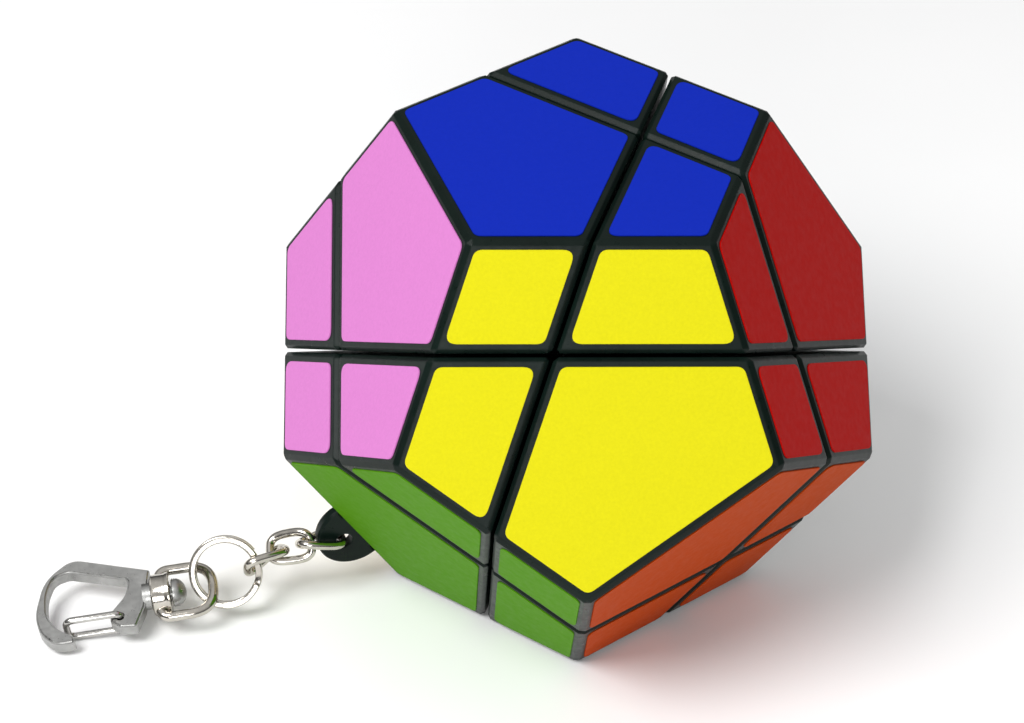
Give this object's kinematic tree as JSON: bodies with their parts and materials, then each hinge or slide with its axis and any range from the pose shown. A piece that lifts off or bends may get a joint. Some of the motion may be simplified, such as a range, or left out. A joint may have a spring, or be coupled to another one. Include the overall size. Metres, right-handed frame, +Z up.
{
  "type": "dodecahedron twisty puzzle",
  "caption": "Corner-turning dodecahedron puzzle with a turning upper half, on a lug, a short curb chain, a split ring and a swivel snap hook with a sprung wire gate.",
  "frame": {"origin": "centre of the bottom face that the puzzle rests on", "axes": "+Z up, +Y towards the back vertex of the top face, +X to the right, away from the chain"},
  "size_m": [0.1173, 0.0862, 0.0702],
  "materials": {
    "black_plastic": "black moulded ABS with coloured vinyl face stickers",
    "core_plastic": "black moulded core",
    "screw_steel": "zinc-plated steel screw",
    "spring_steel": "drawn spring wire",
    "bright_nickel": "bright nickel plate",
    "cast_nickel": "satin nickel on a die-cast body",
    "gate_steel": "bright spring wire"
  },
  "bodies": {
    "lower_half": {"axis_corner_left_front_cap": "black_plastic", "axis_corner_left_front_foot": "black_plastic", "axis_corner_right_low_cap": "black_plastic", "axis_corner_right_low_foot": "black_plastic", "axis_corner_bottom_back_left_cap": "black_plastic", "axis_corner_bottom_back_left_foot": "black_plastic", "free_corner_bottom_front_cap": "black_plastic", "free_corner_bottom_front_foot": "black_plastic", "edge_bottom_right_cap": "black_plastic", "edge_bottom_right_foot": "black_plastic", "edge_front_cap": "black_plastic", "edge_front_foot": "black_plastic", "edge_left_lower_cap": "black_plastic", "edge_left_lower_foot": "black_plastic", "core_ball": "core_plastic", "axis_screw_top_back": "screw_steel", "axis_spring_top_back": "spring_steel", "axis_screw_left_front": "screw_steel", "axis_spring_left_front": "spring_steel", "axis_screw_right_low": "screw_steel", "axis_spring_right_low": "spring_steel", "axis_screw_bottom_back_left": "screw_steel", "axis_spring_bottom_back_left": "spring_steel", "chain_lug": "black_plastic"},
    "upper_half": {"axis_corner_top_back_cap": "black_plastic", "axis_corner_top_back_foot": "black_plastic", "free_corner_top_front_right_cap": "black_plastic", "free_corner_top_front_right_foot": "black_plastic", "free_corner_left_upper_cap": "black_plastic", "free_corner_left_upper_foot": "black_plastic", "free_corner_back_right_cap": "black_plastic", "free_corner_back_right_foot": "black_plastic", "edge_top_left_cap": "black_plastic", "edge_top_left_foot": "black_plastic", "edge_back_cap": "black_plastic", "edge_back_foot": "black_plastic", "edge_right_upper_cap": "black_plastic", "edge_right_upper_foot": "black_plastic"},
    "link_3": {"link_3": "bright_nickel"},
    "link_2": {"link_2": "bright_nickel"},
    "link_1": {"link_1": "bright_nickel"},
    "split_ring": {"split_ring": "bright_nickel"},
    "swivel_eye": {"swivel_eye": "bright_nickel"},
    "hook_body": {"hook_body": "cast_nickel"},
    "gate_wire": {"gate_wire": "gate_steel"}
  },
  "joints": [
    {"name": "upper_half_turn", "type": "hinge", "parent": "lower_half", "child": "upper_half", "pos_m": [0, 0, 0.03508], "axis": [0, 0.6071, 0.7947], "continuous": true},
    {"name": "link_3_swing", "type": "hinge", "parent": "lower_half", "child": "link_3", "pos_m": [-0.03311, -0.01076, 0.00951], "axis": [0.309, -0.9511, 0], "range_deg": [-7, 0]},
    {"name": "link_2_swing", "type": "hinge", "parent": "link_3", "child": "link_2", "pos_m": [-0.03836, -0.0126, 0.00985], "axis": [0.2997, -0.9047, 0.3029], "range_deg": [-7, 0]},
    {"name": "link_1_swing", "type": "hinge", "parent": "link_2", "child": "link_1", "pos_m": [-0.04247, -0.01215, 0.00846], "axis": [0.1143, -0.7451, -0.6571], "range_deg": [-15, 0]},
    {"name": "ring_swing", "type": "hinge", "parent": "link_1", "child": "split_ring", "pos_m": [-0.04586, -0.01483, 0.00762], "axis": [-0.2191, 0.5979, -0.771], "range_deg": [0, 25]},
    {"name": "eye_swing", "type": "hinge", "parent": "split_ring", "child": "swivel_eye", "pos_m": [-0.05411, -0.01679, 0.00466], "axis": [-0.1264, 0.9686, 0.2139], "range_deg": [0, 8]},
    {"name": "hook_swivel", "type": "hinge", "parent": "swivel_eye", "child": "hook_body", "pos_m": [-0.06137, -0.01728, 0.00399], "axis": [0.9892, 0.107, 0.1], "continuous": true},
    {"name": "gate_pivot", "type": "hinge", "parent": "hook_body", "child": "gate_wire", "pos_m": [-0.06429, -0.02116, 0.003], "axis": [0.0783, 0.1911, -0.9785], "range_deg": [0, 25], "stiffness_Nm_per_rad": 0.002, "springref_deg": -17.19}
  ]
}
